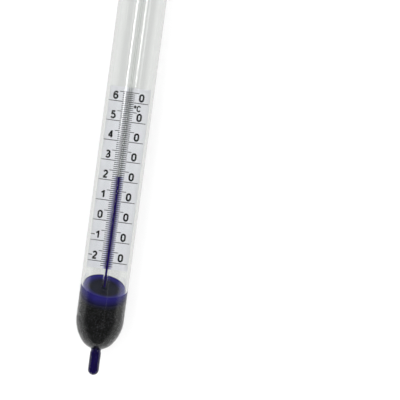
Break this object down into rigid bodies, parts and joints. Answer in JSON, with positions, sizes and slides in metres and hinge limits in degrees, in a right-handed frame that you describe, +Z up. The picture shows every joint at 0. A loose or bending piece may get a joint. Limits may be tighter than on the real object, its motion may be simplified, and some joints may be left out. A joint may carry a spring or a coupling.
{
  "type": "thermo-hydrometer",
  "caption": "Sealed glass float with a weighted, rounded bottom, a narrow density-scale stem and a built-in liquid thermometer whose bulb stands out below.",
  "frame": {"origin": "middle of the instrument's length, on the surface that its body lies on", "axes": "+X along the axis, from the thermometer's bulb to the tip of the stem; +Z up, the way the temperature scale faces while it lies"},
  "size_m": [0.38, 0.022, 0.022],
  "materials": {
    "clear_glass": "clear, polished by the flame",
    "tube_glass": "clear thermometer glass",
    "blue_liquid": "deep blue-violet dyed liquid",
    "scale_paper": "matt white paper",
    "ballast": "dark fine metal shot",
    "blue_resin": "translucent blue resin",
    "black_compound": "black, satin"
  },
  "bodies": {
    "root": {"glass_envelope": "clear_glass", "thermometer_tube": "tube_glass", "thermometric_liquid": "blue_liquid", "temperature_scale": "scale_paper", "ballast_shot": "ballast", "sealing_resin": "blue_resin", "stray_shot": "ballast", "density_scale": "scale_paper", "stem_seal": "black_compound"}
  },
  "joints": []
}
